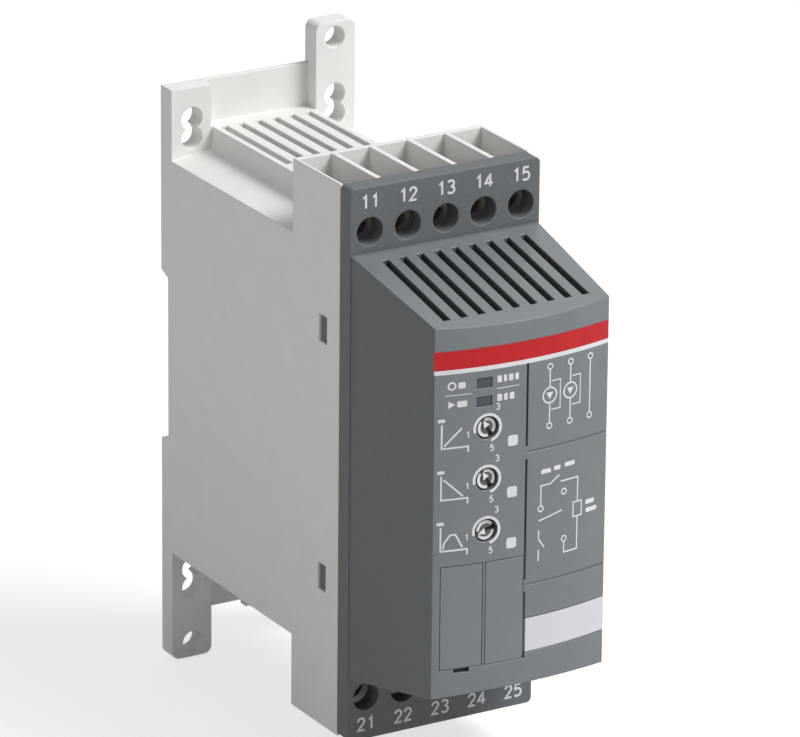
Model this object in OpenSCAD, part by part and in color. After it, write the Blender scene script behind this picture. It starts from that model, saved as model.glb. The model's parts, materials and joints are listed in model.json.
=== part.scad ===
// Soft starter for a control cabinet: moulded base, front cover, screw terminals and electronics.
// The origin is on the rear face, in the middle of the rail recess.
// X runs to the right, Z up, and depth is measured from the rear face towards the front (-Y).

/* [Housing] */
// Width of the base and of the cover's rim
body_w = 45; // [44:0.5:48]
// Half height of the side walls beside the vent boxes
shoulder_z = 44.8; // [44:0.2:46]
// Rise of the shoulder from the side wall to the vent box
shoulder_rise = 1.2; // [0.6:0.1:1.8]
// Half height of the terminal housings and of the cover's rim
housing_z = 60.9; // [60.5:0.1:63]
// Depth of the rear wall of the terminal housings
housing_d = 57; // [56:0.5:57.5]
// Length of the terminal housings from their rear wall to the seam with the cover
cell_l = 19.4; // [19:0.2:21]
// Wall thickness of the mouldings
wall = 2; // [1.8:0.1:2.2]
// Depth of the whole device
overall_d = 114; // [112:0.5:118]

/* [Rear plate] */
// Thickness of the rear plate
plate_t = 4.6; // [4.4:0.1:5.4]
// Half height of the rear plate without its tabs
plate_z = 60.6; // [59:0.2:62]
// Height over both screw tabs
overall_h = 140; // [139:0.5:146]
// Width of a screw tab
tab_w = 9.7; // [9:0.1:10.5]
// Corner radius of a screw tab
tab_r = 1.8; // [1.2:0.1:4]
// Thickness of the plate between its two thick strips
web_t = 1.2; // [1:0.1:2]
// Distance of the wall screws and the keyholes from the nearer side of the base
screw_edge = 5; // [4.5:0.1:5.5]
// Distance between the two wall screws along the device
screw_dz = 133; // [132:0.5:134]
// Diameter of the holes for the wall screws
screw_hole = 4.8; // [4.2:0.1:5.2]
// Diameter of each of the two circles of a keyhole
keyhole = 5.1; // [4.6:0.1:5.4]
// Distance between the two circles of a keyhole
keyhole_step = 4.3; // [3.8:0.1:4.6]
// Height of the circle of a keyhole that is next to the shoulder
keyhole_z = 49.3; // [49:0.1:50.5]

/* [Rail mounting] */
// Height of the recess for the rail
rail_h = 36; // [35.5:0.1:37]
// Depth of the recess for the rail
rail_d = 3; // [2.8:0.1:3.1]
// Chamfer at the two edges of the rail recess
rail_chamfer = 1.3; // [0.8:0.1:1.6]
// Reach of the hooks and the latch nose behind the rail
hook_reach = 1.8; // [1.4:0.1:2.2]
// Thickness of the hooks and the latch nose
hook_t = 1.7; // [1.5:0.1:1.8]
// Width of one fixed hook
hook_w = 8; // [6:0.5:10]
// Distance between the middles of the two fixed hooks
hook_pitch = 24; // [20:0.5:26]
// Width of the latch plate
latch_w = 13.8; // [13:0.2:15]
// Length of the latch plate below the recess
latch_l = 23; // [22:0.5:23.5]
// Travel of the latch
latch_travel = 4; // [3:0.5:4]
// Width of the latch's tail
latch_tail_w = 6.2; // [5.8:0.2:7]
// Reach of the latch's tail below the rear plate
latch_tail_reach = 1.2; // [0.5:0.1:2]
// Outer diameter of the latch spring
spring_od = 2.2; // [2:0.1:2.3]
// Wire diameter of the latch spring
spring_wire = 0.4; // [0.3:0.05:0.5]
// Turns of the latch spring
spring_turns = 9; // [6:1:12]

/* [Vents] */
// Width of a vent box
vent_w = 25; // [24:0.5:25.5]
// Half height over the two vent boxes
vent_z = 51; // [50.5:0.1:52]
// Wall of a vent box
vent_wall = 1.5; // [1.2:0.1:2]
// Number of slots in a vent box
vent_slots = 6; // [5:1:6]
// Width of a slot in a vent box
vent_slot_w = 1.7; // [1.3:0.1:2]
// Length of a slot in a vent box
vent_slot_l = 28.5; // [24:0.5:32]
// Number of slots in a grille of the cover
grille_slots = 9; // [7:1:9]
// Width of a slot in a grille of the cover
grille_slot_w = 1.7; // [1.3:0.1:2]
// Distance of the grille slots from the edge of the front panel
grille_end = 2.3; // [1.8:0.1:6]
// Distance between the slots of both kinds
slot_pitch = 4.1; // [3.9:0.1:4.2]

/* [Terminals] */
// Height of the terminal screws above the middle
terminal_z = 51.3; // [51:0.1:52]
// Thickness of the ribs between terminal cells
rib_t = 1.2; // [1:0.1:1.4]
// Diameter of a screwdriver hole in the cover
driver_hole = 6.2; // [6:0.1:6.6]
// Diameter of the lip that keeps the screw in
driver_lip = 5.8; // [5.8:0.05:5.95]
// Diameter of a terminal screw's thread
screw_d = 4; // [3.5:0.1:4]
// Diameter of a terminal screw's head
head_d = 6.4; // [6.2:0.1:6.6]
// Height of a terminal screw's head
head_h = 2.2; // [1.8:0.1:2.4]
// Width of a contact bar
bar_w = 4.6; // [4.2:0.1:4.8]
// Thickness of a contact bar
bar_t = 1; // [0.8:0.1:1.2]
// Wall of a clamp cage
cage_wall = 0.9; // [0.8:0.1:1]
// Height of a clamp cage
cage_h = 6.5; // [6:0.1:7]
// Travel of a clamp cage
cage_travel = 3.6; // [3.5:0.1:3.8]

/* [Cover] */
// Thickness of the cover's rim, from the seam to the terminal faces
rim_t = 4.3; // [3.6:0.1:5.4]
// Half height of the front part where it leaves the terminal faces
front_foot_z = 46.6; // [46:0.1:47]
// Half height of the front panel at its side edges
panel_z = 40.25; // [39.8:0.05:40.8]
// Step at each side where the front part leaves the terminal faces
foot_inset = 0.2; // [0.1:0.1:0.5]
// Distance of the front panel's side edges from the base's sides
panel_inset = 1.9; // [1.7:0.1:2.1]
// Height of the front panel's crown over its side edges
crown = 2.7; // [2.4:0.1:3]
// Corner radius of the cover's rim
rim_r = 1.2; // [0.8:0.1:2.4]
// Height of a latch window in the base's side walls
nose_h = 6; // [5:0.1:7]
// Depth size of a latch window in the base's side walls
nose_d = 3.3; // [3:0.1:3.6]
// Height of the latch windows' middles above and below the middle
nose_z = 27.5; // [26:0.5:29]

/* [Front panel] */
// Lower edge of the colour band
band_z = 31.2; // [30.8:0.1:31.6]
// Height of the colour band
band_h = 4; // [3.4:0.1:4.4]
// Height of the white line under the band
line_h = 0.9; // [0.7:0.1:1.2]
// Thickness of the foils
foil_t = 0.25; // [0.2:0.05:0.4]
// Width of an indicator window
window_w = 3.4; // [3:0.1:3.8]
// Height of an indicator window
window_h = 2.1; // [1.8:0.1:2.4]
// Place of the indicator windows across the panel
window_x = -10; // [-10.4:0.1:-9.6]
// Height of the upper indicator window
window_z = 27.6; // [27.2:0.1:28]
// Distance between the indicator windows
window_pitch = 4; // [3.8:0.1:4.2]
// Place of the dials across the panel
dial_x = -9.2; // [-9.6:0.1:-8.8]
// Height of the upper dial
dial_z = 17.8; // [17.4:0.1:18.2]
// Distance between the dials
dial_pitch = 11.15; // [11:0.05:11.3]
// Diameter of a dial's disc
dial_d = 4.4; // [4:0.1:4.6]
// Diameter of a dial's shaft
dial_shaft = 3; // [2.6:0.1:3.2]
// Setting of the upper dial, in degrees from the start of its scale
start_setting = 75; // [0:5:270]
// Setting of the middle dial, in degrees from the start of its scale
stop_setting = 75; // [0:5:270]
// Setting of the lower dial, in degrees from the start of its scale
voltage_setting = 0; // [0:5:270]
// Distance of the accessory lid from the panel's left edge
lid_edge = 1.6; // [1.4:0.1:1.8]
// Width of the accessory lid's pocket
lid_w = 9.2; // [9:0.1:9.4]
// Width of the blank lid's pocket
blank_w = 8.8; // [8.6:0.1:8.8]
// Bar between the two lids
lid_bar = 0.5; // [0.4:0.1:0.6]
// Upper edge of the lids
lid_z = -11.4; // [-11.6:0.1:-11]
// Height of the lids' pockets
lid_h = 22.7; // [22:0.1:23]
// Thickness of the lids
lid_t = 1.2; // [1:0.1:1.4]
// Width of the pry notch under the accessory lid
pry_w = 3.4; // [3:0.1:4]
// Upper edge of the marker plate
marker_z = -25.4; // [-26:0.1:-25]
// Height of the marker plate
marker_h = 7.6; // [7:0.1:8]
// Thickness of the marker plate
marker_t = 0.9; // [0.6:0.1:1.2]
// Width of the fine grooves on the panel
groove_w = 0.5; // [0.4:0.05:0.6]

/* [Electronics] */
// Thickness of the circuit boards
board_t = 1.6; // [1.4:0.1:1.8]
// Distance of the control board's front face from the crest of the front
control_inset = 10.4; // [10:0.1:10.8]
// Depth of the heat sink's mounting face
sink_d = 36; // [35:0.5:38]
// Thickness of the heat sink's plate
sink_plate = 4; // [3:0.5:5]
// Number of fins
sink_fins = 8; // [6:1:8]
// Thickness of a fin
fin_t = 1.4; // [1.2:0.1:1.8]
// Height of the heat sink
sink_h = 82; // [78:1:84]
// Thickness of a thyristor module
thyristor_t = 12; // [10:0.5:14]
// Height of a bypass relay over its board
relay_t = 15; // [13:0.5:16]
// Height of the transformer over its board
transformer_t = 17; // [15:0.5:19]
// Height of the capacitors over their board
capacitor_t = 20; // [16:0.5:24]

/* [Hidden] */
$fn = 64;

base_grey = [0.84, 0.84, 0.82];
cover_grey = [0.42, 0.45, 0.46];
signal_red = [0.75, 0.19, 0.2];
marker_white = [0.86, 0.87, 0.89];
lens_blue = [0.3, 0.32, 0.37];
dial_grey = [0.3, 0.32, 0.33];
zinc = [0.72, 0.72, 0.7];
copper = [0.76, 0.5, 0.34];
board_green = [0.13, 0.36, 0.2];
alloy = [0.7, 0.71, 0.73];
black = [0.1, 0.1, 0.11];

eps = 0.01;
// How far a cutting form runs past what it cuts
overshoot = 1;
// Gap round a piece that lies in a pocket, and between pieces that slide on each other
seat_gap = 0.15;
slide_gap = 0.3;
// Radial gap of a shaft in its bearing
bearing_gap = 0.05;

half_w = body_w / 2;
terminals = 5;
terminal_pitch = body_w / terminals;
seam_d = housing_d + cell_l;
terminal_d = seam_d + rim_t;
control_d = overall_d - control_inset;
front_foot_w = body_w - 2 * foot_inset;
panel_w = body_w - 2 * panel_inset;
screw_dx = body_w - 2 * screw_edge;
inner_x = half_w - wall;
inner_z = shoulder_z - wall;
vent_x = vent_w / 2;
tab_x = half_w - tab_w;
cell_floor_step = 1;
cell_floor_z = shoulder_z + cell_floor_step;
cell_back_d = housing_d + rib_t;
cell_w = terminal_pitch - rib_t;
vent_slot_inset = 0.9;
vent_slot_d = plate_t + vent_slot_inset;
grille_slot_inset = 3.3;
grille_slot_d = terminal_d + grille_slot_inset;
nose_inset = 5.1;
nose_front_d = seam_d - nose_inset;

// The front panel is part of a cylinder about a vertical axis
panel_d = overall_d - crown;
panel_r = (pow(panel_w / 2, 2) + pow(crown, 2)) / (2 * crown);
panel_axis_d = overall_d - panel_r;
panel_fn = 256;

// Depth stack of a terminal: clamp, bar and screw
cage_room = 1.3;
clamped_gap = 0.7;
wire_gap = cage_travel + clamped_gap;
bar_gap = 0.2;
bar_d = cell_back_d + cage_room + cage_wall + wire_gap;
cage_back_d = bar_d - wire_gap - cage_wall;
cage_front_t = 1.5;
cage_play = 0.5;
cage_front_d = bar_d + bar_t + cage_play + cage_front_t;
cage_half_w = bar_w / 2 + bar_gap + cage_wall;
screw_tip_d = bar_d + bar_t + bar_gap;
head_inset = 2.6;
driver_slot_w = 0.9;
driver_slot_depth = 1.1;
cross_slot_w = 1.1;
cross_slot_l = 3.4;
head_front_d = seam_d - head_inset;
lip_t = 1;
bar_top_z = terminal_z + cage_h / 2 + slide_gap;
bar_foot = 8;
bar_bottom_z = inner_z - bar_foot;

// The power board carries the contact bars on its front face
power_d = bar_d;
power_back_d = power_d - board_t;
ledge_w = 1.5;
ledge_t = 1.5;
power_half_w = inner_x - slide_gap;
power_half_z = inner_z - slide_gap;
control_back_d = control_d - board_t;

// Latch: a plate that slides in an undercut channel behind the lower half
latch_clear = 0.3;
channel_d = rail_d;
undercut_d = 1.3;
latch_top_gap = 0.6;
latch_end_gap = 0.5;
latch_step = 1.8;
latch_top_z = -rail_h / 2 - latch_top_gap;
latch_end_z = latch_top_z - latch_l;
channel_end_z = latch_end_z - latch_travel - latch_end_gap;
latch_narrow_w = latch_w - 2 * latch_step;
latch_back_d = latch_clear;
latch_front_d = channel_d - latch_clear;
spring_window_w = 4;
spring_window_inset = 4;
spring_window_top_z = latch_top_z - spring_window_inset;
lug_h = 2.2;
lug_w = spring_window_w - 2 * latch_clear;
spring_window_end_z = latch_end_z + spring_window_inset;
lug_z = spring_window_end_z + latch_clear;
spring_foot_z = lug_z + lug_h;
spring_d = (latch_back_d + latch_front_d) / 2;

// Dials and what carries them
dial_inset = 1;
dial_t = 1.8;
dial_front_d = overall_d - dial_inset;
dial_back_d = dial_front_d - dial_t;
dial_hole = dial_d + 2 * slide_gap;
dial_foot_gap = 1;
dial_foot_d = control_d + dial_foot_gap;
dial_slot_w = 0.8;
dial_slot_depth = 0.8;
pointer_w = 1.5;
pointer_t = 0.35;
pointer_foot = 0.3;
pointer_margin = 0.15;
settings = [start_setting, stop_setting, voltage_setting];
// Where a scale starts, in degrees to the left from straight up
scale_start = 105;
pot_t = 5;
pot_w = 7;

// Lids, marker and lines on the front panel
lid_x = lid_edge - panel_w / 2;
lid_seat = 1;
lid_floor_gap = 0.05;
blank_x = lid_x + lid_w + lid_bar;
marker_x = blank_x + blank_w + groove_w;
lid_bottom_z = lid_z - lid_h;
pry_edge = 3;
pry_h = 0.9;
groove_depth = 0.4;
field_line_z = [10.9, -18.2];
field_line_h = 0.35;
field_line_depth = 0.15;
field_gap = 1.4;

// Heat sink, its screws and the thyristor modules on it
sink_screw_edge = 3.3;
sink_screw_end = 5;
sink_screw_x = inner_x - sink_screw_edge;
sink_screw_z = sink_h / 2 - sink_screw_end;
sink_screw_d = 3.9;
sink_screw_grip = 8;
sink_head_d = 5.6;
sink_head_t = 2.2;
sink_boss = 5.6;
boss_hole_end = 1;
screw_room = 0.4;
fin_gap = 0.4;
fin_pitch = (2 * (sink_screw_x - sink_boss / 2 - fin_gap) - fin_t) / (sink_fins - 1);
sink_edge = 1.5;
sink_half_w = inner_x - sink_edge;
thyristor_edge = 2;
thyristor_z = 13.5;
thyristor_h = 24;
thyristor_w = 2 * (sink_half_w - thyristor_edge);
thyristor_ear = 4.6;
thyristor_screw_d = 2.9;
thyristor_screw_grip = 2;
thyristor_head_d = 4.4;
thyristor_head_t = 1.8;
recess_w = 0.8;
post_d = 4.4;
post_edge = 5.1;
post_x = panel_w / 2 - post_edge;
post_z = 34.5;

// Parts on the boards
led_w = 2.8;
led_h = 1.4;
led_t = 1.2;
header_edge = 5.7;
header_w = 4.5;
header_x = [power_half_w - header_edge - header_w, power_half_w - header_edge];
header_h = 20;
header_t = 8.5;
pin_w = 0.7;
pin_rows = 2;
pin_count = 7;
pin_pitch = 2.5;
socket_w = 5.6;
socket_h = 14;
socket_t = 3.4;
socket_wall = 1.2;
lead_x = [-8, 0, 8];
lead_w = 3;
lead_t = 0.8;
ear_t = 3;
relay_x = (inner_x - ledge_w) / 2;
relay_foot = 1;
relay_foot_t = 2.4;
relay_z = 34;
relay_w = 15.5;
relay_h = 12.8;
core_x = [-11, 7];
core_z = [-27, -11];
winding_reach = 3;
winding_inset = 4;
flange_t = 0.9;
flange_reach = 1.2;
capacitor_d = 10;
capacitor_bead = 0.6;
capacitor_bead_h = 1.2;
capacitor_bead_z = 2.4;
capacitor_x = [-10, 2];
capacitor_z = 18;

// Where the cover's sloped walls and its front lie
function foot_share(d) = (d - terminal_d) / (panel_d - terminal_d);
function front_half_z(d) = front_foot_z + (panel_z - front_foot_z) * foot_share(d);
function front_half_w(d) = (front_foot_w + (panel_w - front_foot_w) * foot_share(d)) / 2;
function panel_at(x, r = panel_r) = panel_axis_d + sqrt(r * r - x * x);
function centred(n, pitch) = [for (i = [1:n]) (i - (n + 1) / 2) * pitch];
function terminal_x(i) = centred(terminals, terminal_pitch)[i - 1];
function dial_height(i) = dial_z - (i - 1) * dial_pitch;
function window_height(i) = window_z - (i - 1) * window_pitch;

// Helpers: a box and a rod by depth, and extrusions along depth, height and width
module box(x, d, z) {
    translate([x[0], -d[1], z[0]])
        cube([x[1] - x[0], d[1] - d[0], z[1] - z[0]]);
}

module rod(x, z, d, dia) {
    translate([x, -d[0], z])
        rotate([90, 0, 0])
            cylinder(d = dia, h = d[1] - d[0]);
}

module ring(outer, inner, h) {
    difference() {
        cylinder(d = outer, h = h);
        translate([0, 0, -eps])
            cylinder(d = inner, h = h + 2 * eps);
    }
}

module along_depth(d) {
    translate([0, -d[0], 0])
        rotate([90, 0, 0])
            linear_extrude(d[1] - d[0])
                children();
}

module along_height(z) {
    translate([0, 0, z[0]])
        mirror([0, 1, 0])
            linear_extrude(z[1] - z[0])
                children();
}

module along_width(x) {
    translate([x[1], 0, 0])
        rotate([90, 0, -90])
            linear_extrude(x[1] - x[0])
                children();
}

module up_and_down() {
    children();
    mirror([0, 0, 1])
        children();
}

module left_and_right() {
    children();
    mirror([1, 0, 0])
        children();
}

module rounded_rect(w, h, r) {
    square([w, h - 2 * r], center = true);
    square([w - 2 * r, h], center = true);
    for (sx = [-1, 1], sz = [-1, 1])
        translate([sx * (w / 2 - r), sz * (h / 2 - r)])
            circle(r);
}

// Base: rear plate, shell, terminal housings
module screw_tab() {
    tab_top = overall_h / 2;
    along_depth([0, plate_t])
        translate([tab_x + tab_w / 2, tab_top - tab_w])
            rounded_rect(tab_w, 2 * tab_w, tab_r);
}

module keyhole_cut() {
    for (step = [0, keyhole_step])
        rod(screw_dx / 2, keyhole_z + step, [-eps, plate_t + eps], keyhole);
}

module rear_plate() {
    difference() {
        union() {
            box([-half_w, half_w], [0, plate_t], [-plate_z, plate_z]);
            screw_tab();
            rotate([0, 180, 0])
                screw_tab();
        }
        up_and_down()
            box([-tab_x, tab_x], [web_t, plate_t + eps], [vent_z, plate_z + eps]);
        up_and_down()
            left_and_right()
                keyhole_cut();
        for (turn = [0, 180])
            rotate([0, turn, 0])
                rod(screw_dx / 2, screw_dz / 2, [-eps, plate_t + eps], screw_hole);
    }
}

// Upper half of the shell's section: side wall, rising shoulder, rounded foot of the vent box
module shell_section() {
    foot_r = 2;
    foot_z = shoulder_z + shoulder_rise;
    steps = 6;
    arc = [for (i = [0:steps]) let (a = 90 * i / steps)
        [vent_x + foot_r * (1 - cos(a)), foot_z + foot_r * (1 - sin(a))]];
    right = concat([[vent_x, vent_z]], arc, [[half_w, shoulder_z]]);
    last = len(right) - 1;
    left = [for (i = [last:-1:0]) [-right[i][0], right[i][1]]];
    polygon(concat(left, right, [for (p = left) [-p[0], -p[1]]], [for (p = right) [-p[0], -p[1]]]));
}

module base_shell() {
    difference() {
        union() {
            along_depth([plate_t - eps, housing_d + eps])
                shell_section();
            box([-half_w, half_w], [housing_d, seam_d], [-housing_z, housing_z]);
        }
        box([-inner_x, inner_x], [plate_t, seam_d + eps], [-inner_z, inner_z]);
        box([-vent_x + vent_wall, vent_x - vent_wall], [plate_t, housing_d - vent_wall],
            [-vent_z + vent_wall, vent_z - vent_wall]);
        up_and_down()
            vent_slots_cut();
        up_and_down()
            for (i = [1:terminals])
                terminal_cell_cut(terminal_x(i));
    }
}

module vent_slots_cut() {
    for (x = centred(vent_slots, slot_pitch))
        translate([x, 0, 0])
            box([-vent_slot_w / 2, vent_slot_w / 2], [vent_slot_d, vent_slot_d + vent_slot_l],
                [vent_z - vent_wall - eps, vent_z + eps]);
}

module terminal_cell_cut(x) {
    box([x - cell_w / 2, x + cell_w / 2], [cell_back_d, seam_d + eps], [cell_floor_z, housing_z + eps]);
    box([x - bar_w / 2 - bar_gap, x + bar_w / 2 + bar_gap], [bar_d - bar_gap, bar_d + bar_t + bar_gap],
        [inner_z - eps, cell_floor_z + eps]);
}

module rail_cut() {
    edge = rail_h / 2;
    along_width([-half_w - eps, half_w + eps])
        polygon([[-eps, -edge - rail_chamfer], [rail_d, -edge], [rail_d, edge], [-eps, edge + rail_chamfer]]);
}

module rail_hook(x) {
    edge = rail_h / 2;
    hook_lead = 0.8;
    along_width([x - hook_w / 2, x + hook_w / 2])
        polygon([[0, edge + rail_chamfer], [0, edge - hook_reach + hook_lead], [hook_t, edge - hook_reach],
                 [hook_t, edge + rail_chamfer]]);
}

module latch_channel_cut() {
    latch_room = latch_w / 2 + latch_clear;
    narrow_room = latch_narrow_w / 2 + latch_clear;
    tail_room = latch_tail_w / 2 + latch_clear;
    box([-narrow_room, narrow_room], [-eps, undercut_d + eps], [channel_end_z, 0]);
    box([-latch_room, latch_room], [undercut_d, channel_d], [channel_end_z, 0]);
    box([-tail_room, tail_room], [-eps, channel_d], [-plate_z - eps, channel_end_z + eps]);
}

module latch_lug() {
    box([-lug_w / 2, lug_w / 2], [latch_back_d, channel_d + eps], [lug_z, lug_z + lug_h]);
}

module sink_boss_solid(x, z) {
    rod(x, z, [plate_t - eps, sink_d - sink_plate], sink_boss);
}

module base_housing() {
    color(base_grey)
        difference() {
            union() {
                difference() {
                    union() {
                        rear_plate();
                        base_shell();
                    }
                    rail_cut();
                    latch_channel_cut();
                }
                for (side = [-1, 1])
                    rail_hook(side * hook_pitch / 2);
                latch_lug();
                for (sx = [-1, 1], sz = [-1, 1])
                    sink_boss_solid(sx * sink_screw_x, sz * sink_screw_z);
                left_and_right()
                    box([inner_x - ledge_w, inner_x + eps], [power_back_d - ledge_t, power_back_d],
                        [-inner_z - eps, inner_z + eps]);
            }
            for (sx = [-1, 1], sz = [-1, 1])
                rod(sx * sink_screw_x, sz * sink_screw_z,
                    [sink_d - sink_plate - sink_screw_grip - boss_hole_end, sink_d],
                    sink_screw_d + 2 * bearing_gap);
            up_and_down()
                left_and_right()
                    box([inner_x - eps, half_w + eps], [nose_front_d - nose_d, nose_front_d],
                        [nose_z - nose_h / 2, nose_z + nose_h / 2]);
        }
}

// Cover: rim, tapered front part with a crowned panel, grilles, holes and pockets
module front_outline(inset) {
    start_d = seam_d - overshoot;
    end_d = overall_d + overshoot;
    intersection() {
        polygon([[-front_half_w(start_d) + inset, start_d], [front_half_w(start_d) - inset, start_d],
                 [front_half_w(end_d) - inset, end_d], [-front_half_w(end_d) + inset, end_d]]);
        translate([0, panel_axis_d])
            circle(panel_r - inset, $fn = panel_fn);
    }
}

module front_profile(inset, start_d) {
    end_d = overall_d + overshoot;
    polygon([[start_d, -front_half_z(start_d) + inset], [end_d, -front_half_z(end_d) + inset],
             [end_d, front_half_z(end_d) - inset], [start_d, front_half_z(start_d) - inset]]);
}

module front_form(inset, start_d) {
    intersection() {
        along_height([-housing_z, housing_z])
            front_outline(inset);
        along_width([-half_w, half_w])
            front_profile(inset, start_d);
    }
}

// Removes or keeps what lies in front of a given depth below the crowned surface
module panel_layer(x, z, depth) {
    along_height(z)
        difference() {
            translate([x[0], panel_axis_d])
                square([x[1] - x[0], panel_r + overshoot]);
            translate([0, panel_axis_d])
                circle(panel_r - depth, $fn = panel_fn);
        }
}

module panel_sheet(x, z, depth, thickness) {
    intersection() {
        panel_layer(x, z, depth + thickness);
        along_height(z)
            intersection() {
                front_outline(depth);
                translate([x[0], panel_axis_d])
                    square([x[1] - x[0], panel_r + overshoot]);
            }
    }
}

module grille_cut() {
    for (x = centred(grille_slots, slot_pitch))
        translate([x, 0, 0])
            box([-grille_slot_w / 2, grille_slot_w / 2], [grille_slot_d, panel_d - grille_end],
                [panel_z - 2 * wall, housing_z]);
}

module driver_hole_cut(x) {
    rod(x, terminal_z, [seam_d - eps, seam_d + lip_t + eps], driver_lip);
    rod(x, terminal_z, [seam_d + lip_t, terminal_d + eps], driver_hole);
}

module snap_arm() {
    arm_t = 1.6;
    arm_x = inner_x - slide_gap;
    nose_back_d = nose_front_d - nose_d + slide_gap;
    tip_inset = 0.5;
    nose_tip_x = half_w - tip_inset;
    z = [nose_z - nose_h / 2 + slide_gap, nose_z + nose_h / 2 - slide_gap];
    box([arm_x - arm_t, arm_x], [nose_back_d, seam_d + wall], z);
    box([arm_x - eps, nose_tip_x], [nose_back_d, nose_front_d - slide_gap], z);
    box([arm_x - arm_t, half_w - wall / 2], [seam_d, seam_d + wall], z);
}

module panel_groove_cuts() {
    upper_end_z = band_z - line_h;
    x = [marker_x - groove_w, marker_x];
    panel_layer(x, [field_line_z[0] + field_gap, upper_end_z], groove_depth);
    panel_layer(x, [field_line_z[1] + field_gap, field_line_z[0] - field_gap], groove_depth);
    panel_layer(x, [lid_bottom_z, field_line_z[1] - field_gap], groove_depth);
    for (z = field_line_z)
        panel_layer([marker_x, panel_w], [z, z + field_line_h], field_line_depth);
}

module panel_pocket_cuts() {
    panel_layer([-panel_w, panel_w], [band_z - line_h, band_z + band_h], foil_t);
    panel_layer([lid_x, lid_x + lid_w], [lid_bottom_z, lid_z], lid_t + lid_floor_gap);
    panel_layer([blank_x, blank_x + blank_w], [lid_bottom_z, lid_z], lid_t + lid_floor_gap);
    pry_x = lid_x + pry_edge;
    panel_layer([pry_x, pry_x + pry_w], [lid_bottom_z - pry_h, lid_bottom_z + eps], lid_t);
    panel_layer([marker_x, panel_w], [marker_z - marker_h, marker_z], marker_t + lid_floor_gap);
    box([lid_x + lid_seat, lid_x + lid_w - lid_seat], [panel_d - 2 * wall, overall_d],
        [lid_bottom_z + lid_seat, lid_z - lid_seat]);
    for (i = [1:2])
        box([window_x - window_w / 2, window_x + window_w / 2], [panel_d - 2 * wall, overall_d],
            [window_height(i) - window_h / 2, window_height(i) + window_h / 2]);
    for (i = [1:3])
        rod(dial_x, dial_height(i), [panel_d - 2 * wall, overall_d], dial_hole);
}

module control_post(x, z) {
    rod(x, z, [control_d, panel_at(x, panel_r - wall) + wall / 2], post_d);
}

module bay_tube() {
    tube_wall = 0.8;
    x = [lid_x + lid_seat, lid_x + lid_w - lid_seat];
    z = [lid_bottom_z + lid_seat, lid_z - lid_seat];
    difference() {
        box([x[0] - tube_wall, x[1] + tube_wall], [control_d, panel_at(x[0], panel_r - wall) + wall / 2],
            [z[0] - tube_wall, z[1] + tube_wall]);
        box(x, [control_d - eps, overall_d], z);
    }
}

module front_cover() {
    color(cover_grey)
        difference() {
            union() {
                difference() {
                    union() {
                        along_depth([seam_d, terminal_d])
                            rounded_rect(body_w, 2 * housing_z, rim_r);
                        front_form(0, terminal_d - eps);
                    }
                    front_form(wall, seam_d - eps);
                    up_and_down()
                        grille_cut();
                    up_and_down()
                        for (i = [1:terminals])
                            driver_hole_cut(terminal_x(i));
                }
                up_and_down()
                    left_and_right()
                        snap_arm();
                control_post(-post_x, post_z);
                control_post(post_x, post_z);
                control_post(post_x, -post_z);
                bay_tube();
            }
            panel_pocket_cuts();
            panel_groove_cuts();
        }
}

// Foils, lids and marker on the crowned panel
module front_band() {
    color(signal_red)
        panel_sheet([-panel_w, panel_w], [band_z, band_z + band_h], 0, foil_t - lid_floor_gap);
}

module band_line() {
    color(marker_white)
        panel_sheet([-panel_w, panel_w], [band_z - line_h, band_z], 0, foil_t - lid_floor_gap);
}

module marker_plate() {
    color(marker_white)
        panel_sheet([marker_x + seat_gap, panel_w], [marker_z - marker_h + seat_gap, marker_z - seat_gap],
                    0, marker_t);
}

module blank_lid() {
    color(cover_grey)
        panel_sheet([blank_x + seat_gap, blank_x + blank_w - seat_gap],
                    [lid_bottom_z + seat_gap, lid_z - seat_gap], 0, lid_t);
}

module link_lid() {
    leg_w = 4;
    leg_t = 0.9;
    leg_l = 4;
    mid_x = lid_x + lid_w / 2;
    leg_room = lid_seat + seat_gap;
    color(cover_grey) {
        panel_sheet([lid_x + seat_gap, lid_x + lid_w - seat_gap],
                    [lid_bottom_z + seat_gap, lid_z - seat_gap], 0, lid_t);
        for (z = [lid_bottom_z + leg_room, lid_z - leg_room - leg_t])
            box([mid_x - leg_w / 2, mid_x + leg_w / 2],
                [panel_at(lid_x) - lid_t - leg_l, panel_at(mid_x) - lid_t / 2], [z, z + leg_t]);
    }
}

// Indicators: light pipes through the panel, lamps on the control board
module light_pipe(i) {
    sink = 0.1;
    color(lens_blue)
        intersection() {
            box([window_x - window_w / 2 + seat_gap, window_x + window_w / 2 - seat_gap],
                [control_d + led_t, overall_d],
                [window_height(i) - window_h / 2 + seat_gap, window_height(i) + window_h / 2 - seat_gap]);
            along_height([-panel_z, panel_z])
                front_outline(sink);
        }
}

module ready_window() {
    light_pipe(1);
}

module run_window() {
    light_pipe(2);
}

module indicator_leds() {
    color(marker_white)
        for (i = [1:2])
            box([window_x - led_w / 2, window_x + led_w / 2], [control_d, control_d + led_t],
                [window_height(i) - led_h / 2, window_height(i) + led_h / 2]);
}

// Dials: disc with pointer and driver slot on a shaft, turning in a trimmer body
module dial(i) {
    color(dial_grey)
        translate([dial_x, 0, dial_height(i)])
            rotate([0, settings[i - 1] - scale_start, 0]) {
                difference() {
                    union() {
                        rod(0, 0, [dial_foot_d, dial_back_d + eps], dial_shaft);
                        rod(0, 0, [dial_back_d, dial_front_d], dial_d);
                    }
                    box([-dial_slot_w / 2, dial_slot_w / 2],
                        [dial_front_d - dial_slot_depth, dial_front_d + eps], [-dial_d, 0]);
                }
                along_depth([dial_front_d - eps, dial_front_d + pointer_t])
                    polygon([[-pointer_w / 2, pointer_foot], [pointer_w / 2, pointer_foot],
                             [0, dial_d / 2 - pointer_margin]]);
            }
}

module start_dial() {
    dial(1);
}

module stop_dial() {
    dial(2);
}

module voltage_dial() {
    dial(3);
}

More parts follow.
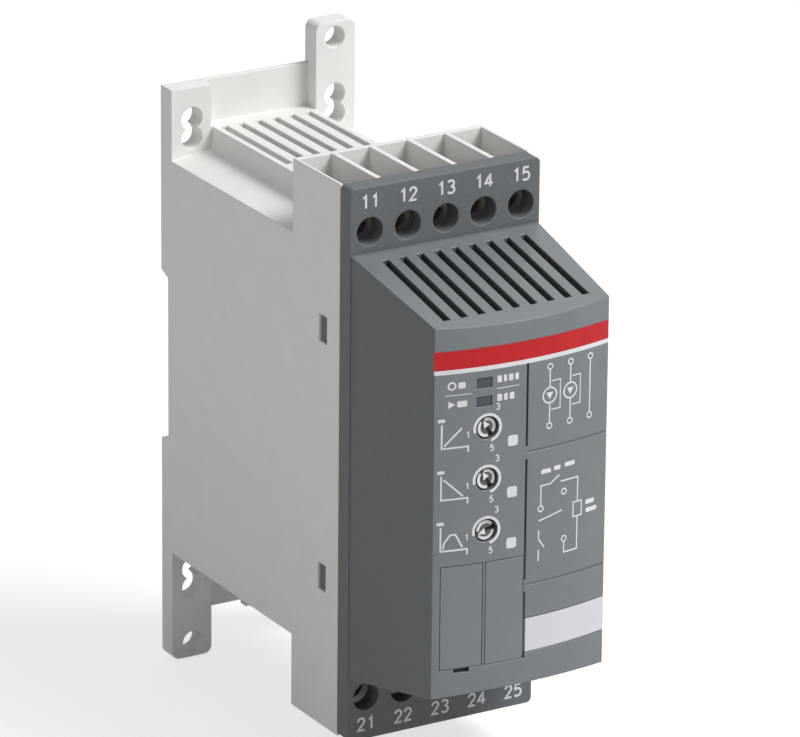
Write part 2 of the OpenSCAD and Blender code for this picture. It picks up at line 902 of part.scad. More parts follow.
module trimmer(i) {
    color(lens_blue)
        difference() {
            box([dial_x - pot_w / 2, dial_x + pot_w / 2], [control_d, control_d + pot_t],
                [dial_height(i) - pot_w / 2, dial_height(i) + pot_w / 2]);
            rod(dial_x, dial_height(i), [dial_foot_d - slide_gap, control_d + pot_t + eps],
                dial_shaft + 2 * bearing_gap);
        }
}

module start_pot() {
    trimmer(1);
}

module stop_pot() {
    trimmer(2);
}

module voltage_pot() {
    trimmer(3);
}

// Terminals: side is 1 for the upper row and -1 for the lower row
module terminal_at(i, side) {
    translate([terminal_x(i), 0, side * terminal_z])
        children();
}

module terminal_screw(i, side) {
    slot_d = [head_front_d - driver_slot_depth, head_front_d + eps];
    color(zinc)
        terminal_at(i, side)
            difference() {
                union() {
                    rod(0, 0, [screw_tip_d, head_front_d - head_h + eps], screw_d);
                    rod(0, 0, [head_front_d - head_h, head_front_d], head_d);
                }
                box([-head_d, head_d], slot_d, [-driver_slot_w / 2, driver_slot_w / 2]);
                box([-cross_slot_w / 2, cross_slot_w / 2], slot_d, [-cross_slot_l / 2, cross_slot_l / 2]);
            }
}

module clamp_cage(i, side) {
    bar_room = bar_w / 2 + bar_gap;
    color(zinc)
        terminal_at(i, side)
            difference() {
                box([-cage_half_w, cage_half_w], [cage_back_d, cage_front_d], [-cage_h / 2, cage_h / 2]);
                box([-bar_room, bar_room], [cage_back_d + cage_wall, cage_front_d - cage_front_t],
                    [-cage_h, cage_h]);
                rod(0, 0, [cage_front_d - cage_front_t - eps, cage_front_d + eps], screw_d + 2 * bearing_gap);
            }
}

module contact_bars() {
    for (i = [1:terminals])
        translate([terminal_x(i), 0, 0])
            box([-bar_w / 2, bar_w / 2], [bar_d, bar_d + bar_t], [bar_bottom_z, bar_top_z]);
}

module contact_bars_top() {
    color(copper)
        contact_bars();
}

module contact_bars_bottom() {
    color(copper)
        mirror([0, 0, 1])
            contact_bars();
}

// Boards and what they carry
module power_board() {
    color(board_green)
        box([-power_half_w, power_half_w], [power_back_d, power_d], [-power_half_z, power_half_z]);
}

module control_board() {
    room = 1;
    half_x = front_half_w(control_back_d) - wall - room;
    half_z = front_half_z(control_d) - wall - room;
    color(board_green)
        box([-half_x, half_x], [control_back_d, control_d], [-half_z, half_z]);
}

module board_link() {
    mid_x = (header_x[0] + header_x[1]) / 2;
    color(black) {
        box(header_x, [power_d, power_d + header_t], [-header_h / 2, header_h / 2]);
        box(header_x, [control_back_d - header_t, control_back_d], [-header_h / 2, header_h / 2]);
        for (x = centred(pin_rows, pin_pitch), z = centred(pin_count, pin_pitch))
            translate([mid_x + x, 0, z])
                box([-pin_w / 2, pin_w / 2], [power_d + header_t - eps, control_back_d - header_t + eps],
                    [-pin_w / 2, pin_w / 2]);
    }
}

module link_socket() {
    mid_x = lid_x + lid_w / 2;
    mid_z = lid_z - lid_h / 2;
    room_x = socket_w / 2 - socket_wall;
    room_z = socket_h / 2 - socket_wall;
    color(black)
        difference() {
            box([mid_x - socket_w / 2, mid_x + socket_w / 2], [control_d, control_d + socket_t],
                [mid_z - socket_h / 2, mid_z + socket_h / 2]);
            box([mid_x - room_x, mid_x + room_x], [control_d + socket_wall, control_d + socket_t + eps],
                [mid_z - room_z, mid_z + room_z]);
        }
}

module heat_sink() {
    plate_d = [sink_d - sink_plate, sink_d];
    color(alloy)
        difference() {
            union() {
                box([-sink_half_w, sink_half_w], plate_d, [-sink_h / 2, sink_h / 2]);
                for (x = centred(sink_fins, fin_pitch))
                    translate([x, 0, 0])
                        box([-fin_t / 2, fin_t / 2], [plate_t, plate_d[0] + eps], [-sink_h / 2, sink_h / 2]);
            }
            for (sx = [-1, 1], sz = [-1, 1])
                rod(sx * sink_screw_x, sz * sink_screw_z, [plate_d[0] - eps, plate_d[1] + eps],
                    sink_screw_d + screw_room);
            for (sx = [-1, 1], sz = [-1, 1])
                rod(sx * (thyristor_w - thyristor_ear) / 2, sz * thyristor_z,
                    [plate_d[1] - thyristor_screw_grip - boss_hole_end, plate_d[1] + eps],
                    thyristor_screw_d + 2 * bearing_gap);
        }
}

module pan_screw(seat_d, length, dia, head, head_t) {
    rod(0, 0, [seat_d - length, seat_d + eps], dia);
    difference() {
        rod(0, 0, [seat_d, seat_d + head_t], head);
        for (turn = [0, 90])
            rotate([0, turn, 0])
                box([-head / 3, head / 3], [seat_d + head_t / 2, seat_d + head_t + eps],
                    [-recess_w / 2, recess_w / 2]);
    }
}

module heat_sink_screws() {
    color(zinc)
        for (sx = [-1, 1], sz = [-1, 1])
            translate([sx * sink_screw_x, 0, sz * sink_screw_z])
                pan_screw(sink_d, sink_plate + sink_screw_grip, sink_screw_d, sink_head_d, sink_head_t);
}

module thyristor(side) {
    body_half_w = thyristor_w / 2 - thyristor_ear;
    color(black)
        translate([0, 0, side * thyristor_z])
            difference() {
                union() {
                    box([-thyristor_w / 2, thyristor_w / 2], [sink_d, sink_d + ear_t],
                        [-thyristor_h / 4, thyristor_h / 4]);
                    box([-body_half_w, body_half_w], [sink_d, sink_d + thyristor_t],
                        [-thyristor_h / 2, thyristor_h / 2]);
                    for (x = lead_x)
                        box([x - lead_w / 2, x + lead_w / 2], [sink_d + thyristor_t - eps, power_back_d],
                            [-lead_t / 2, lead_t / 2]);
                }
                for (sx = [-1, 1])
                    rod(sx * (thyristor_w - thyristor_ear) / 2, 0, [sink_d - eps, sink_d + ear_t + eps],
                        thyristor_screw_d + screw_room);
            }
}

module thyristor_upper() {
    thyristor(1);
}

module thyristor_lower() {
    thyristor(-1);
}

module thyristor_screws() {
    color(zinc)
        for (sx = [-1, 1], sz = [-1, 1])
            translate([sx * (thyristor_w - thyristor_ear) / 2, 0, sz * thyristor_z])
                pan_screw(sink_d + ear_t, ear_t + thyristor_screw_grip, thyristor_screw_d, thyristor_head_d,
                          thyristor_head_t);
}

module bypass_relay(side) {
    half_x = relay_w / 2 - relay_foot / 2;
    half_z = relay_h / 2 - relay_foot / 2;
    color(black)
        translate([side * relay_x, 0, relay_z]) {
            box([-relay_w / 2, relay_w / 2], [power_back_d - relay_foot_t, power_back_d],
                [-relay_h / 2, relay_h / 2]);
            along_depth([power_back_d - relay_t, power_back_d - relay_foot_t + eps])
                rounded_rect(2 * half_x, 2 * half_z, relay_foot);
        }
}

module bypass_relay_left() {
    bypass_relay(-1);
}

module bypass_relay_right() {
    bypass_relay(1);
}

module transformer() {
    winding_d = [power_d + winding_inset, power_d + transformer_t - winding_inset];
    winding_x = [core_x[0] - winding_reach, core_x[1] + winding_reach];
    winding_z = [core_z[0] + winding_reach, core_z[1] - winding_reach];
    color(lens_blue) {
        box(core_x, [power_d, power_d + transformer_t], core_z);
        box(winding_x, winding_d, winding_z);
        for (x = [winding_x[0], winding_x[1] - flange_t])
            box([x, x + flange_t], [winding_d[0] - flange_reach, winding_d[1] + flange_reach],
                [winding_z[0] - flange_reach, winding_z[1] + flange_reach]);
    }
}

module capacitors() {
    color(lens_blue)
        for (x = capacitor_x)
            difference() {
                rod(x, capacitor_z, [power_d, power_d + capacitor_t], capacitor_d);
                translate([x, -power_d - capacitor_bead_z, capacitor_z])
                    rotate([90, 0, 0])
                        ring(capacitor_d + 2 * capacitor_bead, capacitor_d - 2 * capacitor_bead,
                             capacitor_bead_h);
            }
}

// Rail latch and its spring
module din_latch() {
    nose_top_z = -rail_h / 2 + hook_reach;
    nose_lead = 1;
    tail_end_z = -plate_z - latch_tail_reach;
    tail_slot_w = 3.6;
    tail_slot_h = 1.8;
    tail_slot_edge = 1.6;
    tail_slot_z = tail_end_z + tail_slot_edge;
    narrow = latch_narrow_w / 2;
    wing_d = undercut_d + latch_clear;
    color(base_grey)
        difference() {
            union() {
                box([-narrow, narrow], [latch_back_d, wing_d + eps], [latch_end_z, latch_top_z + eps]);
                box([-latch_w / 2, latch_w / 2], [wing_d, latch_front_d], [latch_end_z, latch_top_z]);
                along_width([-narrow, narrow])
                    polygon([[latch_back_d, latch_top_z], [latch_back_d, nose_top_z - nose_lead],
                             [hook_t, nose_top_z], [hook_t, latch_top_z]]);
                box([-latch_tail_w / 2, latch_tail_w / 2], [latch_back_d, latch_front_d],
                    [tail_end_z, latch_end_z + eps]);
            }
            box([-spring_window_w / 2, spring_window_w / 2], [0, channel_d],
                [spring_window_end_z, spring_window_top_z]);
            box([-tail_slot_w / 2, tail_slot_w / 2], [0, channel_d],
                [tail_slot_z, tail_slot_z + tail_slot_h]);
        }
}

function helix_point(turn, ring, sides, pitch, r) =
    let (a = 360 * turn, b = 360 * ring / sides, reach = r + spring_wire / 2 * cos(b))
    [reach * cos(a), reach * sin(a), turn * pitch + spring_wire / 2 * sin(b)];

module latch_spring() {
    steps = 12;
    sides = 6;
    length = spring_window_top_z - spring_foot_z;
    pitch = (length - spring_wire) / spring_turns;
    count = spring_turns * steps;
    r = (spring_od - spring_wire) / 2;
    points = [for (i = [0:count], j = [0:sides - 1]) helix_point(i / steps, j, sides, pitch, r)];
    walls = [for (i = [0:count - 1], j = [0:sides - 1])
        let (a = i * sides + j, b = i * sides + (j + 1) % sides)
        [a, a + sides, b + sides, b]];
    first = [for (j = [0:sides - 1]) j];
    last = [for (j = [sides - 1:-1:0]) count * sides + j];
    color(alloy)
        translate([0, -spring_d, spring_foot_z + spring_wire / 2])
            polyhedron(points, concat([first], walls, [last]));
}

base_housing();
front_cover();
front_band();
band_line();
ready_window();
run_window();
start_dial();
stop_dial();
voltage_dial();
start_pot();
stop_pot();
voltage_pot();
link_lid();
blank_lid();
marker_plate();
for (i = [1:terminals]) {
    terminal_screw(i, 1);
    terminal_screw(i, -1);
    clamp_cage(i, 1);
    clamp_cage(i, -1);
}
contact_bars_top();
contact_bars_bottom();
power_board();
control_board();
board_link();
heat_sink();
heat_sink_screws();
thyristor_upper();
thyristor_lower();
thyristor_screws();
bypass_relay_left();
bypass_relay_right();
transformer();
capacitors();
link_socket();
indicator_leds();
din_latch();
latch_spring();
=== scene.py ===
"""Looks of the soft starter: materials, print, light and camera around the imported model."""
import json
import math

import bpy
from mathutils import Matrix, Vector

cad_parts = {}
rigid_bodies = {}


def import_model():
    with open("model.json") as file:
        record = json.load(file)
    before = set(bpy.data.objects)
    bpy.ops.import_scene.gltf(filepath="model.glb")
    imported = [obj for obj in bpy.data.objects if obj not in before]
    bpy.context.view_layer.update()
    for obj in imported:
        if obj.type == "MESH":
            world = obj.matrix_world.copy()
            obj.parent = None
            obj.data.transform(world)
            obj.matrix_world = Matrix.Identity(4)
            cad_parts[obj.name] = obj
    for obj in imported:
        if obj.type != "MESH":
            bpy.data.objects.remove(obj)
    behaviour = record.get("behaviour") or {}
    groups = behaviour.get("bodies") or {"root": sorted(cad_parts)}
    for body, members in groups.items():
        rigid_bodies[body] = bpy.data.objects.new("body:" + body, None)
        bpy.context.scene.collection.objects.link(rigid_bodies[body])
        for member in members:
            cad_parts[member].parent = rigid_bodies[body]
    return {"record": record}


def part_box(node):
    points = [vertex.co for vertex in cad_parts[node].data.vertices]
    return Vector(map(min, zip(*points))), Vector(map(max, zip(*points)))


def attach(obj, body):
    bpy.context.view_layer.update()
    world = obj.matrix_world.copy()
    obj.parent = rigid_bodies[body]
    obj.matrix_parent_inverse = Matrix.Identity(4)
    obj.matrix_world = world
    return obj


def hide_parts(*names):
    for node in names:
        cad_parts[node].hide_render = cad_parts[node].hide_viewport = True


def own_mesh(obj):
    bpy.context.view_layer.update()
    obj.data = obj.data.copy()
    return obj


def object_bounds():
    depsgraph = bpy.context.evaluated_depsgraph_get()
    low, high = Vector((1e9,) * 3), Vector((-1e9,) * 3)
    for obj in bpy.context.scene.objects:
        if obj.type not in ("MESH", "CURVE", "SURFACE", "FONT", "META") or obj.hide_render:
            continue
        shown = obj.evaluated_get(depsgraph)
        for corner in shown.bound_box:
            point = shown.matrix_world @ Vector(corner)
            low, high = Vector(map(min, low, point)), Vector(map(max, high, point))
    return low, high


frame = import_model()
cad_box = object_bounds()

MM = 0.001

# The front panel's crown, as in the part's source (mm)
OVERALL_D = 114.0
CROWN = 2.7
PANEL_W = 41.2
PANEL_R = ((PANEL_W / 2) ** 2 + CROWN ** 2) / (2 * CROWN)
PANEL_AXIS_D = OVERALL_D - PANEL_R
TERMINAL_D = 80.7
# Depths between which the rim's grain gives way to the front's
RIM_GRAIN_D = (80.8, 81.0)

# Terminals, dials and rail latch, as in the part's source (mm)
TERMINALS = 5
TERMINAL_PITCH = 9.0
DIALS = ("start_dial", "stop_dial", "voltage_dial")
DIAL_X = -9.2
DIAL_ZS = (17.8, 6.65, -4.5)
DIAL_FACE_D = 113.0
DIAL_POINTER = 0.35
# How far each dial is turned to the left from straight up, in degrees
DIAL_TURNS = (30, 30, 105)
SPRING_WIRE_R = 0.2
SPRING_TURNS = 9
# Points along one turn of the spring's wire, and round the wire
SPRING_STEPS = 28
SPRING_SIDES = 10

# Print lies on a surface with its back just inside it (mm)
PRINT_LIFT = 0.035
PRINT_SINK = 0.02
PRINT_STEP = 1.2
INK = "white_foil"

# Numerals as lines in a box of height 1
DIGIT_WIDTH = 0.6
DIGIT_ADVANCE = 0.86
DIGITS = {
    "1": [[(0.14, 0.78), (0.38, 1.0), (0.38, 0.0)]],
    "2": [[(0.02, 0.74), (0.08, 0.91), (0.22, 1.0), (0.38, 1.0), (0.52, 0.91), (0.58, 0.76), (0.52, 0.58),
           (0.02, 0.0), (0.6, 0.0)]],
    "3": [[(0.03, 0.9), (0.18, 1.0), (0.4, 1.0), (0.55, 0.88), (0.55, 0.68), (0.36, 0.54), (0.57, 0.4),
           (0.6, 0.2), (0.46, 0.02), (0.2, 0.0), (0.02, 0.12)]],
    "4": [[(0.44, 0.0), (0.44, 1.0)],
          [(0.35, 0.86), (0.0, 0.28), (0.352, 0.28)],
          [(0.528, 0.28), (0.66, 0.28)]],
    "5": [[(0.54, 1.0), (0.1, 1.0), (0.06, 0.56), (0.22, 0.64), (0.4, 0.62), (0.56, 0.5), (0.59, 0.28),
           (0.5, 0.08), (0.34, 0.0), (0.14, 0.0), (0.02, 0.1)]],
}

# Terminal numbers: heights of the two rows, and the size and stroke of a numeral
NUMBER_ZS = (57.8, -57.5)
NUMBER_H = 2.7
NUMBER_STROKE = 0.46

# Dial scales: arc, numerals with their places from the dial's middle, and the field beside the dial
SCALE_R = 2.87
SCALE_SPAN = (-75, 195)
SCALE_STROKE = 0.58
SCALE_DIGITS = (("1", -4.3, -0.9), ("3", 2.2, 4.3), ("5", 1.0, -4.4))
SCALE_DIGIT_H = 1.25
SCALE_DIGIT_STROKE = 0.24
FIELD_X = -3.5
FIELD_DROP = 3.6
FIELD_SIZE = 2.3
FIELD_R = 0.5

# Ink on the dials: pointer, and the arcs of the band round it
POINTER_OUTLINE = [(-0.72, 0.33), (0.72, 0.33), (0.0, 2.0)]
BAND_SPANS = ((-68, 76), (104, 248))
BAND_R = 1.78
BAND_STROKE = 0.62

# Time diagrams beside the dials, from the corner of their axes
ICON_X = -19.0
ICON_DROP = 3.4
ICON_STROKE = 0.36
ICON_AXES = [(0.0, 5.2), (0.0, 0.0), (5.6, 0.0), (5.6, -1.2)]
ICON_CURVES = (
    [(0.5, 0.5), (4.2, 4.1)],
    [(0.5, 4.4), (4.6, 0.5)],
    [(0.5, 0.5), (0.8, 1.9), (2.0, 3.4), (3.1, 3.4), (4.6, 0.5)],
)
ICON_BAR_PLACE = (-0.1, 6.0)
ICON_BAR_SIZE = (1.5, 0.7, 0.2)

# Marks beside the indicator windows: rows of bars start at one x
MARK_RING = (0.75, 0.34)
MARK_ROW_X = -7.2
MARK_ROWS = ((28.0, (1.0, 0.7, 1.0, 0.8)), (24.0, (1.1, 0.8, 1.1)))
MARK_ROW_GAP = 0.45
MARK_ROW_H = 1.45
MARK_ROW_R = 0.2
MARK_BAR_H = 1.3
RULE_STROKE = 0.16

# Wiring diagram: strokes, and radius and stroke of its rings
WIRE_STROKE = 0.3
LOOP_STROKE = 0.24
JUNCTION_RING = (0.6, 0.28)
SYMBOL_RING = (1.65, 0.34)
PHASE_XS = (5.2, 10.4, 15.6)
SWITCHED_XS = PHASE_XS[:2]
PHASE_ZS = (28.6, 15.8)
SYMBOL_Z = 22.4
CONTROL_RINGS = ((3.4, -2.0), (9.4, -9.8), (9.2, 0.6))
WORD_BARS = ((4.6, 6.0, 2.4), (7.4, 6.2, 1.6), (10.6, 6.4, 2.6), (16.2, -3.2, 2.4), (16.6, -5.0, 3.0))
WORD_BAR_H = 0.95
WORD_BAR_R = 0.25

# Texture scales shared by the moulded plastics, and where an edge counts as worn
CLOUD_SCALE = 160.0
FINE_SCALE = 3800.0
COARSE_SCALE = 2300.0
WORN_EDGE = (0.8, 0.99)

# Camera fitted to the photograph: the image is 800 pixels wide, angles in radians, shift in mm
IMAGE_W = 800
SENSOR_W = 36.0
CAMERA_FOCAL_PX = 6839.2
CAMERA_YAW = 0.5346
CAMERA_PITCH = 0.3527
CAMERA_ROLL = 0.0097
CAMERA_SHIFT = (-31.974, -7.130, 1484.164)
CAMERA_FAR = 20.0

# Stage (m): light from all round, the floor's own grey, and the glow and grey that the camera sees
WORLD_LIGHT = 0.3
FLOOR_REACH = 4.0
FLOOR_GAP = 0.0005
FLOOR_ROUGH = 0.9
FLOOR_GREY = 0.6
FLOOR_GLOW = 0.68
FLOOR_SEEN = 0.4
LAMP_TARGET = (0.0, -0.05, 0.0)
# Name, place, size (m) and power (W)
LAMPS = (
    ("key", (1.05, -1.17, 1.80), 1.2, 60.0),
    ("fill", (-1.8, -0.6, 0.9), 1.5, 4.0),
)


# Node trees
class Tree:
    """A new material and short ways to add nodes to it."""

    def __init__(self, name):
        self.material = bpy.data.materials.new(name)
        self.material.use_nodes = True
        self.nodes = self.material.node_tree.nodes
        self.links = self.material.node_tree.links
        self.shader = self.nodes["Principled BSDF"]
        self.coords = self.add("ShaderNodeTexCoord").outputs["Object"]

    def add(self, kind, **settings):
        node = self.nodes.new(kind)
        for key, value in settings.items():
            setattr(node, key, value)
        return node

    def link(self, source, target):
        self.links.new(source, target)

    def put(self, **values):
        for key, value in values.items():
            self.shader.inputs[key.replace("_", " ")].default_value = value

    def noise(self, scale, detail=2.0, stretch=None):
        node = self.add("ShaderNodeTexNoise")
        node.inputs["Scale"].default_value = scale
        node.inputs["Detail"].default_value = detail
        if stretch is None:
            self.link(self.coords, node.inputs["Vector"])
        else:
            mapping = self.add("ShaderNodeMapping")
            mapping.inputs["Scale"].default_value = stretch
            self.link(self.coords, mapping.inputs["Vector"])
            self.link(mapping.outputs["Vector"], node.inputs["Vector"])
        return node.outputs["Fac"]

    def ramp(self, value, low, high, start=0.3, end=0.7):
        node = self.add("ShaderNodeMapRange")
        node.inputs["From Min"].default_value = start
        node.inputs["From Max"].default_value = end
        node.inputs["To Min"].default_value = low
        node.inputs["To Max"].default_value = high
        self.link(value, node.inputs["Value"])
        return node.outputs["Result"]

    def mix(self, factor, first, second):
        """Colours mixed by a number or a socket; sockets 6, 7 and 2 are the colour ones of the node."""
        node = self.add("ShaderNodeMix", data_type="RGBA")
        if isinstance(factor, float):
            node.inputs[0].default_value = factor
        else:
            self.link(factor, node.inputs[0])
        for socket, colour in ((node.inputs[6], first), (node.inputs[7], second)):
            if isinstance(colour, tuple):
                socket.default_value = (*colour, 1.0)
            else:
                self.link(colour, socket)
        return node.outputs[2]

    def bump(self, height, strength, distance, normal=None):
        node = self.add("ShaderNodeBump")
        node.inputs["Strength"].default_value = strength
        node.inputs["Distance"].default_value = distance
        self.link(height, node.inputs["Height"])
        if normal is not None:
            self.link(normal, node.inputs["Normal"])
        return node.outputs["Normal"]

    def soft_edges(self, radius):
        node = self.add("ShaderNodeBevel", samples=6)
        node.inputs["Radius"].default_value = radius
        return node.outputs["Normal"]

    def edge_mask(self, rounded, low, high):
        """Rises from 0 on flat ground to 1 where the rounded normal leaves the true one."""
        dot = self.add("ShaderNodeVectorMath", operation="DOT_PRODUCT")
        self.link(rounded, dot.inputs[0])
        self.link(self.add("ShaderNodeNewGeometry").outputs["Normal"], dot.inputs[1])
        return self.ramp(dot.outputs["Value"], 1.0, 0.0, low, high)

    def openness(self, distance):
        """1 on open faces, falling to 0 deep in slots and holes, where grime stays."""
        node = self.add("ShaderNodeAmbientOcclusion", samples=8, only_local=True)
        node.inputs["Distance"].default_value = distance
        return self.ramp(node.outputs["AO"], 0.0, 1.0, 0.3, 0.75)

    def finish(self, colour, roughness, normal):
        self.link(colour, self.shader.inputs["Base Color"])
        self.link(roughness, self.shader.inputs["Roughness"])
        self.link(normal, self.shader.inputs["Normal"])
        return self.material


def shade(colour, factor):
    return tuple(min(1.0, part * factor) for part in colour)


def moulded(name, colour, rough, grain=0.22, edge=0.0004, specular=0.45):
    """Moulded plastic: eroded grain, cloudy colour, softened and slightly lighter edges."""
    tree = Tree(name)
    cloud = tree.noise(CLOUD_SCALE, 4.0)
    fine = tree.noise(FINE_SCALE, 2.0)
    rounded = tree.soft_edges(edge)
    body = tree.mix(tree.ramp(cloud, 0.0, 1.0), shade(colour, 0.965), shade(colour, 1.035))
    speck = tree.mix(tree.ramp(fine, 0.0, 1.0, 0.35, 0.65), shade(colour, 0.97), shade(colour, 1.03))
    mottled = tree.mix(0.4, body, speck)
    worn = tree.mix(tree.edge_mask(rounded, *WORN_EDGE), mottled, shade(colour, 1.12))
    tree.put(Specular_IOR_Level=specular)
    normal = tree.bump(fine, grain, 0.00004, rounded)
    return tree.finish(worn, tree.ramp(cloud, rough - 0.05, rough + 0.05), normal)


def cover_moulding(name, colour, rough):
    """Cover plastic: a fine front, and an eroded, duller grain on the sides, rim and terminal faces."""
    tree = Tree(name)
    place = tree.add("ShaderNodeSeparateXYZ")
    tree.link(tree.coords, place.inputs["Vector"])
    forward = tree.ramp(place.outputs["Y"], 1.0, 0.0, -RIM_GRAIN_D[1] * MM, -RIM_GRAIN_D[0] * MM)
    facing = tree.add("ShaderNodeSeparateXYZ")
    tree.link(tree.add("ShaderNodeTexCoord").outputs["Normal"], facing.inputs["Vector"])
    sideways = tree.add("ShaderNodeMath", operation="ABSOLUTE")
    tree.link(facing.outputs["X"], sideways.inputs[0])
    both = tree.add("ShaderNodeMath", operation="MULTIPLY")
    tree.link(forward, both.inputs[0])
    tree.link(tree.ramp(sideways.outputs[0], 1.0, 0.0, 0.6, 0.7), both.inputs[1])
    front = both.outputs[0]
    cloud = tree.noise(CLOUD_SCALE, 4.0)
    fine = tree.noise(FINE_SCALE, 2.0)
    coarse = tree.noise(COARSE_SCALE, 3.0)
    rounded = tree.soft_edges(0.0004)
    smooth = tree.mix(tree.ramp(cloud, 0.0, 1.0), shade(colour, 0.97), shade(colour, 1.03))
    eroded = tree.mix(tree.ramp(coarse, 0.0, 1.0), shade(colour, 0.62), shade(colour, 0.76))
    body = tree.mix(front, eroded, smooth)
    worn = tree.mix(tree.edge_mask(rounded, *WORN_EDGE), body, shade(colour, 1.15))
    deep = tree.mix(tree.openness(0.004), shade(colour, 0.12), worn)
    tree.put(Specular_IOR_Level=0.5)
    height = tree.add("ShaderNodeMix", data_type="FLOAT")
    tree.link(front, height.inputs[0])
    tree.link(coarse, height.inputs[2])
    tree.link(fine, height.inputs[3])
    normal = tree.bump(height.outputs[0], 0.3, 0.00005, rounded)
    return tree.finish(deep, tree.ramp(front, 0.68, rough, 0.0, 1.0), normal)


def foil(name, colour, rough):
    """Printed foil: smooth, with a faint orange-peel and tone."""
    tree = Tree(name)
    tree.put(Specular_IOR_Level=0.25)
    peel = tree.noise(1300.0, 2.0)
    tone = tree.mix(tree.ramp(tree.noise(220.0, 3.0), 0.0, 1.0), shade(colour, 0.95), shade(colour, 1.05))
    return tree.finish(tone, tree.ramp(peel, rough - 0.04, rough + 0.04), tree.bump(peel, 0.08, 0.00002))


def metal(name, colour, rough, stretch=(1.0, 1.0, 1.0), scale=2200.0):
    """Plated or drawn metal: brushed along one way, with cloudy plating."""
    tree = Tree(name)
    brushed = tree.noise(scale, 3.0, stretch)
    cloud = tree.noise(420.0, 3.0)
    tone = tree.mix(tree.ramp(cloud, 0.0, 1.0), shade(colour, 0.88), shade(colour, 1.08))
    tree.put(Metallic=1.0)
    rounded = tree.soft_edges(0.00015)
    normal = tree.bump(brushed, 0.15, 0.00003, rounded)
    return tree.finish(tone, tree.ramp(brushed, rough - 0.1, rough + 0.1), normal)


def circuit_board(name, mask, track):
    """Solder mask with copper tracks under it and tinned pads."""
    tree = Tree(name)
    mapping = tree.add("ShaderNodeMapping")
    mapping.inputs["Rotation"].default_value = (math.pi / 2, 0.0, 0.0)
    tree.link(tree.coords, mapping.inputs["Vector"])
    tracks = tree.add("ShaderNodeTexBrick")
    tracks.inputs["Scale"].default_value = 150.0
    tracks.inputs["Mortar Size"].default_value = 0.03
    tracks.inputs["Color1"].default_value = (0.0, 0.0, 0.0, 1.0)
    tracks.inputs["Color2"].default_value = (0.25, 0.25, 0.25, 1.0)
    tracks.inputs["Mortar"].default_value = (1.0, 1.0, 1.0, 1.0)
    tree.link(mapping.outputs["Vector"], tracks.inputs["Vector"])
    pads = tree.add("ShaderNodeTexVoronoi")
    pads.inputs["Scale"].default_value = 320.0
    tree.link(tree.coords, pads.inputs["Vector"])
    tracked = tree.mix(tracks.outputs["Color"], mask, track)
    padded = tree.mix(tree.ramp(pads.outputs["Distance"], 1.0, 0.0, 0.12, 0.16), tracked, (0.62, 0.62, 0.58))
    rough = tree.ramp(tree.noise(900.0, 2.0), 0.28, 0.42)
    return tree.finish(padded, rough, tree.bump(tracks.outputs["Color"], 0.25, 0.00003))


def window_lens(name, colour):
    """Smoked light pipe."""
    tree = Tree(name)
    cloud = tree.noise(700.0, 2.0)
    tree.put(Specular_IOR_Level=0.4, Coat_Weight=0.1, Coat_Roughness=0.12)
    tone = tree.mix(tree.ramp(cloud, 0.0, 1.0), shade(colour, 0.94), shade(colour, 1.06))
    return tree.finish(tone, tree.ramp(cloud, 0.26, 0.34), tree.bump(cloud, 0.03, 0.00001))


BASE_GREY = (0.740, 0.740, 0.722)
COVER_GREY = (0.163, 0.178, 0.189)
MATERIALS = {
    "base_plastic": moulded("base_plastic", BASE_GREY, 0.5),
    "cover_plastic": cover_moulding("cover_plastic", COVER_GREY, 0.33),
    "red_foil": foil("red_foil", (0.500, 0.012, 0.015), 0.42),
    "white_foil": foil("white_foil", (0.70, 0.71, 0.73), 0.4),
    "marker_plastic": moulded("marker_plastic", (0.62, 0.63, 0.67), 0.42, 0.1, 0.0002),
    "lens": window_lens("lens", (0.05, 0.057, 0.082)),
    "dial_plastic": moulded("dial_plastic", (0.085, 0.09, 0.095), 0.42, 0.12, 0.00015),
    "trimmer_plastic": moulded("trimmer_plastic", (0.04, 0.10, 0.30), 0.4, 0.12, 0.0002),
    "zinc_steel": metal("zinc_steel", (0.15, 0.15, 0.147), 0.42),
    "tinned_copper": metal("tinned_copper", (0.70, 0.62, 0.55), 0.3, (1.0, 1.0, 0.06)),
    "circuit_board": circuit_board("circuit_board", (0.012, 0.085, 0.035), (0.03, 0.16, 0.07)),
    "sink_alloy": metal("sink_alloy", (0.70, 0.71, 0.72), 0.4, (1.0, 1.0, 0.04), 1800.0),
    "black_plastic": moulded("black_plastic", (0.022, 0.022, 0.024), 0.45, 0.18, 0.0003),
    "winding_sleeve": moulded("winding_sleeve", (0.055, 0.075, 0.13), 0.38, 0.12, 0.0003),
    "spring_steel": metal("spring_steel", (0.52, 0.52, 0.53), 0.28),
}
LIDS = ("link_lid", "blank_lid")
LID_PLASTIC = moulded("lid_plastic", shade(COVER_GREY, 1.06), 0.34, 0.12, 0.00025, 0.5)


def dress_nodes():
    """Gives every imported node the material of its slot; the two lids are moulded a little smoother."""
    for part in frame["record"]["subparts"]:
        obj = bpy.data.objects[part["node"]]
        obj.data.materials.clear()
        lid = part["node"] in LIDS
        obj.data.materials.append(LID_PLASTIC if lid else MATERIALS[part["material_slot"]])


# Print: thin closed prisms on the crowned panel, the terminal faces and the dials (mm, seen from the front)
def on_panel(x, z, lift):
    return Vector((x, -(PANEL_AXIS_D + math.sqrt(PANEL_R ** 2 - x ** 2) + lift), z)) * MM


def on_terminal_face(x, z, lift):
    return Vector((x, -(TERMINAL_D + lift), z)) * MM


def resampled(points, step=PRINT_STEP):
    """The same line with no stretch longer than the step, so that it follows the crown."""
    out = [points[0]]
    for a, b in zip(points, points[1:]):
        count = max(1, math.ceil(math.dist(a, b) / step))
        out += [(a[0] + (b[0] - a[0]) * i / count, a[1] + (b[1] - a[1]) * i / count)
                for i in range(1, count + 1)]
    return out


